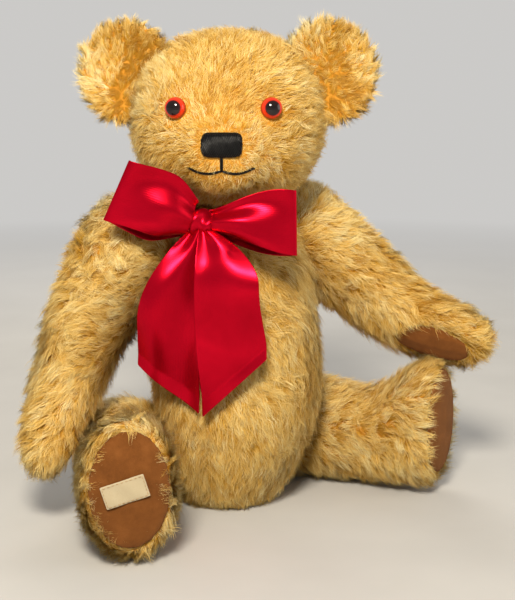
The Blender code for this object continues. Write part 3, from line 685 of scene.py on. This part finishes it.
def near(nodes, none, full):
    """A length factor that falls to nothing close to some of the frame's nodes."""
    trees = [tree_of(NODES[node]) for node in nodes]

    def factor(points):
        kept = np.ones(len(points))
        for i, point in enumerate(points):
            for tree in trees:
                hit = tree.find_nearest(Vector(point), full)
                if hit[0] is not None:
                    kept[i] = min(kept[i], max(hit[3] - none, 0) / (full - none))
        return kept

    return factor


def build_torso(cloth, mohair):
    skin = grown_skin("torso_skin", "torso_stuffing", "torso_shell", cloth)
    attach(skin, "torso", "torso_shell")
    ribbon = near(["neck_ribbon"], 0.001, 0.011)
    joints = [np.array(JOINTS[name]["pos_m"]) for name in JOINTS]

    def keep(points, normals):
        kept = ribbon(points)
        for spot in joints:
            kept *= np.clip((np.linalg.norm(points - spot, axis=1) - 0.012) / 0.02, 0, 1)
        return kept

    flow = away_from((0, 0.01, 0.27), 3, 0.026, 0.75)
    piled("torso_pile", skin, "torso", PILE_DENSITY, BODY_PILE, flow, keep, mohair, 1)


def build_head(cloth, mohair):
    skin = grown_skin("head_skin", "head_stuffing", "head_shell", cloth)
    attach(skin, "head", "head_shell")
    nose = np.array(middle("nose_stitching"))
    eyes = near(["eye_left", "eye_right"], 0.0008, 0.009)
    mouth = near(["nose_stitching", "mouth_stitching"], -0.0030, 0.007)
    neck = np.array(JOINTS["neck_turn"]["pos_m"])

    def keep(points, normals):
        away = np.linalg.norm(points - nose, axis=1)
        kept = 0.48 + 0.52 * np.clip((away - 0.026) / 0.036, 0, 1)
        kept *= np.clip((np.linalg.norm(points - neck, axis=1) - 0.02) / 0.02, 0, 1)
        return kept * eyes(points) * mouth(points)

    off_nose = away_from(nose + np.array(FACE) * 0.004, 5, 0.024, 0.5)
    skull = np.array(middle("head_shell"))

    def flow(points, normals):
        behind = np.clip(-((points - skull) @ np.array(FACE)) / 0.035, 0, 1)[:, None]
        return off_nose(points, normals) * (1 - 0.75 * behind) + behind * np.array((0, 0, -0.9))

    piled("head_pile", skin, "head", PILE_DENSITY, HEAD_PILE, flow, keep, mohair, 2)


def build_ears(cloth, mohair):
    """Cupped ears: longer pile round the rim and behind, short pile in the cup, darkened there as painted
    shade.
    """
    for side in SIDES:
        node = f"ear_{side}"
        bm = remeshed_node(node, EAR_VOXEL)
        relax(bm, 4)
        skin = from_bmesh(f"{node}_skin", bm, cloth)
        attach(skin, "head", node)
        heart = middle(node) + FACE * 0.004
        rim = max((vertex.co - heart).length for vertex in skin.data.vertices)

        def keep(points, normals):
            out = points - np.array(heart)
            inner = np.clip(1 - np.linalg.norm(out, axis=1) / (0.78 * rim), 0, 1)
            return 1 - 0.45 * np.sqrt(inner) * np.clip(normals @ np.array(FACE) * 2, 0, 1)

        # Painted shade: the pile in the cup is made darker, as if lying in the hollow's shade.
        def painted_shade(points):
            out = points - np.array(heart)
            inner = np.clip(1 - np.linalg.norm(out, axis=1) / (0.9 * rim), 0, 1)
            return -0.62 * np.sqrt(inner) * (out @ np.array(FACE) > -0.008)

        flow = away_from(heart - FACE * 0.016 - UP * 0.024, 7, 0.016, 0.55)
        density, looks = PILE_DENSITY * 1.2, {"lift": 0.40, "clump": 0.0032, "painted_shade": painted_shade}
        piled(f"{node}_pile", skin, "head", density, EAR_PILE, flow, keep, mohair, 3, **looks)


def build_limbs(cloth, mohair, felt):
    for side in SIDES:
        for limb, pad, joint in (("arm", "paw_pad", "shoulder"), ("leg", "foot_pad", "hip")):
            body = f"{limb}_{side}"
            root = np.array(JOINTS[f"{joint}_{side}"]["pos_m"])
            pad_node = f"{pad}_{side}"
            skin = grown_skin(f"{body}_skin", f"{body}_stuffing", f"{body}_shell", cloth, [pad_node])
            attach(skin, body, f"{body}_shell")
            pads = near([pad_node], 0.0002, 0.0035)
            build_pad(pad_node, body, felt)

            def keep(points, normals):
                at_joint = np.clip((np.linalg.norm(points - root, axis=1) - 0.010) / 0.016, 0, 1)
                return pads(points) * at_joint

            flow = away_from(root, 11 if limb == "arm" else 13, 0.022, 0.6)
            piled(f"{body}_pile", skin, body, PILE_DENSITY, BODY_PILE, flow, keep, mohair, 4)


def build_pad(node, body, felt):
    """A felt pad, with the frame's edges worn round."""
    bm = remeshed_node(node, PAD_VOXEL)
    relax(bm, 3)
    attach(from_bmesh(f"{node}_felt", bm, felt), body, node)


def grid_mesh(name, rows, material):
    """A sheet through rows of points, with a "weave" layer that measures it in metres."""
    across = len(rows[0])
    points = [point for row in rows for point in row]
    faces, corners = [], []
    spine = [row[across // 2] for row in rows]
    along = np.cumsum([0] + [(b - a).length for a, b in zip(spine, spine[1:])])
    wide = max((row[-1] - row[0]).length for row in rows)
    for i in range(len(rows) - 1):
        for j in range(across - 1):
            here, next_row = i * across + j, (i + 1) * across + j
            faces.append((here, here + 1, next_row + 1, next_row))
            near_side, far_side = j / (across - 1) * wide, (j + 1) / (across - 1) * wide
            corners += [(near_side, along[i]), (far_side, along[i])]
            corners += [(far_side, along[i + 1]), (near_side, along[i + 1])]
    mesh = bpy.data.meshes.new(name)
    mesh.from_pydata(points, [], faces)
    layer = mesh.uv_layers.new(name="weave")
    layer.data.foreach_set("uv", np.array(corners, np.float32).reshape(-1))
    mesh.shade_smooth()
    made = new_object(name, mesh, material)
    solid = made.modifiers.new("thickness", "SOLIDIFY")
    solid.thickness = CLOTH_THICKNESS
    solid.offset = 0
    smooth = made.modifiers.new("smooth", "SUBSURF")
    smooth.levels = smooth.render_levels = 1
    return made


def ease(x):
    x = min(1.0, max(0.0, x))
    return x * x * (3 - 2 * x)


def shares(count):
    """Even values from 0 to 1, both included."""
    return [i / count for i in range(count + 1)]


def spread(count):
    """Even values from -1 to 1, both included."""
    return [2 * i / count - 1 for i in range(count + 1)]


def ribbon_loop(name, out, face, up, reach, half, deep, narrow, opens, satin):
    """One loop of the bow: the ribbon goes out along the front, turns and comes back behind."""
    rows = []
    for share in shares(56):
        turn = pi * (0.04 + 0.92 * share)
        x = sin(turn)  # 0 at the knot, 1 at the loop's end
        front = 1 if cos(turn) > 0 else -1
        depth = deep * (0.35 + 0.65 * sin(pi * min(1.0, x * 0.88))) * sqrt(max(0.0, 1 - x**6))
        wide = half * (narrow + (1 - narrow) * ease(x / opens))
        row = []
        for w in spread(24):
            gather = (1 - x) ** 1.2
            crease = 0.0050 * cos(pi * (0.95 * w + 0.35)) + 0.0014 * cos(pi * (2.3 * w - 0.2))
            lift = depth * (1 - 0.35 * w * w * (1 - x)) + gather * crease
            swell = 0.0038 * sin(pi * (1.7 * x + 0.35 * w)) * x * (1 - x) * 3
            spot = KNOT + out * (reach * x) + face * (front * lift + swell)
            row.append(spot + up * (wide * w + 0.0035 * front * sin(pi * x)))
        rows.append(row)
    return grid_mesh(name, rows, satin)


def ribbon_knot(satin):
    """The knot: the ribbon once round, tilted, with its edges drawn in."""
    up = (UP + BOW_SIDE * KNOT_TILT).normalized()
    across = (BOW_SIDE - UP * KNOT_TILT).normalized()
    rows = []
    for share in shares(48):
        turn = 2 * pi * share
        row = []
        for w in spread(24):
            full = 1 - 0.34 * abs(w) ** 2.5
            fold = 0.0012 * cos(pi * (1.5 * w + 0.8 * sin(turn)))
            ring = up * ((KNOT_HALF_HIGH * full + fold) * cos(turn))
            ring += BOW_FACE * ((KNOT_HALF_DEEP * full + fold) * sin(turn))
            row.append(KNOT + across * (KNOT_HALF_WIDE * w) + ring)
        rows.append(row)
    return grid_mesh("ribbon_knot", rows, satin)


def ribbon_tail(name, side, wide, corner, opens, satin):
    """A tail that opens out of the knot and ends in a slanting cut. The left one hangs over the right one."""
    rows = []
    for share in shares(64):
        half = TAIL_ROOT + (wide - TAIL_ROOT) * sin(pi / 2 * min(1.0, share / opens)) ** 0.85
        row = []
        for w in spread(32):  # -1 is the outer edge
            pleat = 0.0026 * (1 - share) ** 3 * cos(pi * (1.2 * w + 0.4 * side))
            if side > 0:
                ripple = sin(2 * pi * (1.30 * (share + 0.13 * w) - 0.10))
                fold = 0.0036 * ripple * ease(share * 5) * (1 - 0.55 * share)
                inner = 0.0020 * share - 0.0030 * sin(pi * min(1.0, share * 1.15))
            else:
                ripple = cos(pi * (0.85 * w + 0.38))
                fold = 0.0058 * ripple * ease(share * 3) * (1 - 0.3 * share)
                inner = 0.0016 * share - 0.0030 * (1 - share)
            end = KNOT.z - TAIL_TIP - (corner - TAIL_TIP) * (1 - w) / 2
            drop = TAIL_START + (end - TAIL_START) * share
            out = 0.0072 + 0.0020 * side + 0.0108 * sin(pi * min(1.0, share * 1.1)) + 0.002 * share
            aside = inner + half * (1 - w)
            row.append(KNOT + BOW_SIDE * (side * aside) - UP * drop + BOW_FACE * (out + pleat + fold))
        rows.append(row)
    return grid_mesh(name, rows, satin)


def ribbon_band(satin):
    """The ribbon gathered round the neck, mostly hidden in the pile."""
    rows = []
    forward = heading(BOW_YAW)
    aside = UP.cross(forward)
    for share in shares(96):
        turn = 2 * pi * share
        row = []
        for w in spread(8):
            crease = 0.0003 * cos(pi * 2 * w + 3 * turn)
            ring = forward * (cos(turn) * (BAND_HALF_LONG + crease))
            ring += aside * (sin(turn) * (BAND_HALF_WIDE + crease))
            dip = BAND_BELOW_JOINT + 0.003 * cos(turn)  # lowest at the knot
            height = NECK_Z - dip + w * (0.0030 + 0.0006 * cos(turn))
            row.append(forward * BAND_FORWARD + ring + UP * height)
        rows.append(row)
    return grid_mesh("ribbon_band", rows, satin)


def build_ribbon():
    satin = satin_material()
    right = BOW_SIDE * -0.054 + BOW_FACE * 0.024 + UP * 0.0245
    left = BOW_SIDE * 0.067 + BOW_FACE * 0.002 + UP * 0.001
    band, knot = ribbon_band(satin), ribbon_knot(satin)
    pieces = [band, knot]
    for name, end, half, deep, narrow, opens in (
        ("ribbon_loop_right", right, 0.0225, 0.0078, 0.50, 0.50),
        ("ribbon_loop_left", left, 0.0228, 0.0080, 0.32, 0.95),
    ):
        out = end.normalized()
        front = (BOW_FACE - out * BOW_FACE.dot(out)).normalized()
        up = out.cross(front)
        if up.z < 0:
            up = -up
        pieces.append(ribbon_loop(name, out, front, up, end.length, half, deep, narrow, opens, satin))
    pieces.append(ribbon_tail("ribbon_tail_right", -1, 0.0215, 0.120, 0.66, satin))
    pieces.append(ribbon_tail("ribbon_tail_left", 1, 0.0228, 0.127, 0.40, satin))
    for piece in pieces:
        attach(piece, "torso", "neck_ribbon" if piece == knot else None)


def tube(bm, points, radius):
    """Thread along points, thinner at both ends."""
    rings = []
    for i, point in enumerate(points):
        ahead = (points[min(i + 1, len(points) - 1)] - points[max(i - 1, 0)]).normalized()
        place = along_frame(ahead, FACE if abs(ahead.dot(FACE)) < 0.9 else UP)
        thin = radius * (0.55 if i in (0, len(points) - 1) else 1.0)
        turns = np.linspace(0, 2 * pi, THREAD_SIDES, False)
        rings.append([bm.verts.new(point + place @ Vector((cos(a), sin(a), 0)) * thin) for a in turns])
    for a, b in zip(rings, rings[1:]):
        for i in range(THREAD_SIDES):
            j = (i + 1) % THREAD_SIDES
            bm.faces.new((a[i], a[j], b[j], b[i]))
    bm.faces.new(rings[0][::-1])
    bm.faces.new(rings[-1])


def on_face(trees, aside, height, out=0.0):
    """The point on the front of the head at an offset and height, looking along the way it faces."""
    start = FACE * 0.3 + FACE_SIDE * aside + UP * height
    found = [tree.ray_cast(start, -FACE) for tree in trees]
    spots = [hit[0] for hit in found if hit[0] is not None]
    if not spots:
        return None
    return max(spots, key=lambda spot: spot.dot(FACE)) + FACE * out


def build_stitching(thread):
    """The nose in slanting satin stitch, over a core, and the mouth in long stitches."""
    head = tree_of(bpy.data.objects["head_skin"])
    pad = tree_of(NODES["nose_stitching"])
    centre = middle("nose_stitching")
    low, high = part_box("nose_stitching")
    half_up = (high.z - low.z) / 2
    half_side = NOSE_WIDTH / 2
    bm = remeshed_node("nose_stitching", NOSE_VOXEL)
    relax(bm, 2)
    rng = np.random.default_rng(31)
    reach = half_side + half_up * abs(NOSE_SLANT)
    for offset in np.arange(-reach, reach, THREAD_SPACING):
        path = []
        lift = rng.uniform(-0.0002, 0.0007)
        for step in np.linspace(-1, 1, 15):
            aside = offset + step * half_up * NOSE_SLANT
            edge = (abs(aside) / half_side) ** 7 + abs(step) ** 7
            spot = on_face([pad], aside, centre.z + step * half_up)
            if edge < 1 and spot is not None:
                path.append(spot + FACE * (lift - 0.0001))
        if len(path) > 2:
            tube(bm, path, rng.uniform(*NOSE_THREAD))
    attach(from_bmesh("nose_threads", bm, thread), "head", "nose_stitching")
    bm = bmesh.new()
    base = centre.z - half_up
    for shift in (-0.0005, 0.0005):
        path = [on_face([head], shift, z, 0.0007) for z in np.linspace(base + 0.001, MOUTH_Z, 6)]
        tube(bm, path, MOUTH_DROP_THREAD)
    for side, reach in ((1, MOUTH_LEFT), (-1, MOUTH_RIGHT)):
        for shift in (0.0, 0.0007):
            path = []
            for step in np.linspace(0, 1, 12):
                dip = -0.0022 * sin(pi * min(1.0, step * 1.1)) + 0.0012 * step**3
                path.append(on_face([head], side * reach * step, MOUTH_Z + dip + shift, 0.0006))
            tube(bm, path, MOUTH_CURVE_THREAD)
    attach(from_bmesh("mouth_threads", bm, thread), "head", "mouth_stitching")


def build_label():
    """A blank woven label with a row of stitches round its edge."""
    node = NODES["foot_label"]
    points = np.array([v.co for v in node.data.vertices])
    centre = points.mean(0)
    axes = np.linalg.svd(points - centre, full_matrices=False)[2]
    spans = [np.abs((points - centre) @ axis).max() for axis in axes]
    out = Vector(axes[2])
    if out.dot(Vector(centre) - Vector(JOINTS["hip_right"]["pos_m"])) < 0:
        out = -out
    long, short = Vector(axes[0]), Vector(axes[1])
    top = max((points - centre) @ np.array(out))
    rows = []
    for u in spread(28):
        row = []
        for w in spread(16):
            lift = top + 0.00025 * sin(5 * u + 2 * w) - 0.0005 * max(abs(u), abs(w)) ** 6
            row.append(Vector(centre) + long * (spans[0] * u) + short * (spans[1] * w) + out * lift)
        rows.append(row)
    tape = grid_mesh("foot_label_tape", rows, tape_material())
    bm = bmesh.new()
    corners = [(-1, -1), (1, -1), (1, 1), (-1, 1), (-1, -1)]
    for (u0, w0), (u1, w1) in zip(corners, corners[1:]):
        count = 9 if w0 == w1 else 5
        for i in range(count):
            ends = []
            for share in (i + 0.18, i + 0.82):
                u, w = u0 + (u1 - u0) * share / count, w0 + (w1 - w0) * share / count
                inset = long * ((spans[0] - LABEL_HEM) * u) + short * ((spans[1] - LABEL_HEM) * w)
                ends.append(Vector(centre) + inset + out * (top + 0.00045))
            dip = out * 0.0003  # both ends go into the tape
            tube(bm, [ends[0] - dip, (ends[0] + ends[1]) / 2, ends[1] - dip], LABEL_THREAD)
    sewn = from_bmesh("foot_label_stitches", bm, label_thread_material())
    attach(tape, "leg_right", "foot_label")
    attach(sewn, "leg_right")


def build_inside():
    """Wool stuffing, grown over each stuffing solid; the joint hardware keeps its own shapes."""
    wool, board, steel = wool_material(), board_material(), steel_material()
    for name, node in NODES.items():
        body, kind = name.rsplit("_", 1)
        look = {"disc": board, "washer": steel, "pin": steel}.get(kind)
        if look is None and body == "eye_washer":
            look = steel
        if look:
            node.data.materials.clear()
            node.data.materials.append(look)
        if kind == "stuffing":
            bm = remeshed_node(name, WOOL_VOXEL)
            relax(bm, 1)
            bm.normal_update()
            tufts = swirl(np.array([vertex.co for vertex in bm.verts]), 21, 0.004)[:, 0]
            for vertex, tuft in zip(bm.verts, tufts):
                vertex.co -= vertex.normal * (0.0006 * abs(tuft))
            attach(from_bmesh(f"{body}_wool", bm, wool), body, name)


def area_light(name, spot, size, power, colour):
    data = bpy.data.lights.new(name, "AREA")
    data.shape = "DISK"
    data.size = size
    data.energy = power
    data.color = colour
    lamp = bpy.data.objects.new(name, data)
    bpy.context.scene.collection.objects.link(lamp)
    lamp.location = spot
    lamp.rotation_euler = (Vector(LIGHT_AIM) - Vector(spot)).to_track_quat("-Z", "Y").to_euler()


def build_studio():
    bm = bmesh.new()
    bmesh.ops.create_grid(bm, x_segments=1, y_segments=1, size=FLOOR_HALF)
    floor = from_bmesh("floor", bm, paper_material())
    floor.location.z = -FLOOR_BELOW
    world = bpy.data.worlds.new("studio")
    world.use_nodes = True
    tree = world.node_tree
    shown = tree.nodes.new("ShaderNodeMixRGB")  # what lights the bear, and what the camera sees
    shown.inputs["Color1"].default_value = (AMBIENT, AMBIENT, AMBIENT, 1)
    shown.inputs["Color2"].default_value = (*BACKDROP, 1)
    tree.links.new(tree.nodes.new("ShaderNodeLightPath").outputs["Is Camera Ray"], shown.inputs["Fac"])
    tree.links.new(shown.outputs["Color"], tree.nodes["Background"].inputs["Color"])
    bpy.context.scene.world = world
    for light in LIGHTS:
        area_light(*light)
    bpy.context.scene.view_settings.view_transform = "Standard"


def build_camera():
    """An eye a little above the bear's middle, off to its right front."""
    toward = heading(CAMERA_TURN)
    forward, across, up = CAMERA_PLACE
    spot = toward * forward + UP.cross(toward) * across + UP * up
    aim = spot - toward * cos(CAMERA_DIP) - UP * sin(CAMERA_DIP)
    data = bpy.data.cameras.new("camera")
    data.lens = CAMERA_LENS
    data.sensor_width = 36
    camera = bpy.data.objects.new("camera", data)
    bpy.context.scene.collection.objects.link(camera)
    camera.location = spot
    camera.rotation_euler = (aim - spot).to_track_quat("-Z", "Y").to_euler()
    bpy.context.scene.camera = camera


def main():
    # The backing's dark golden browns are partly its own colour and partly painted shade between the locks.
    cloth = skin_material("mohair_backing", (0.44, 0.18, 0.015), (0.62, 0.29, 0.040))
    mohair = pile_material(
        "golden_mohair",
        root=(0.36, 0.150, 0.006),
        mid=(0.80, 0.46, 0.055),
        tip=(0.95, 0.76, 0.31),
        dark=(0.47, 0.21, 0.010),
        pale=(0.98, 0.87, 0.50),
    )
    felt = felt_material()
    build_inside()
    build_torso(cloth, mohair)
    build_head(cloth, mohair)
    build_ears(cloth, mohair)
    build_limbs(cloth, mohair, felt)
    build_eyes()
    build_stitching(thread_material())
    build_label()
    build_ribbon()
    build_studio()
    build_camera()


main()
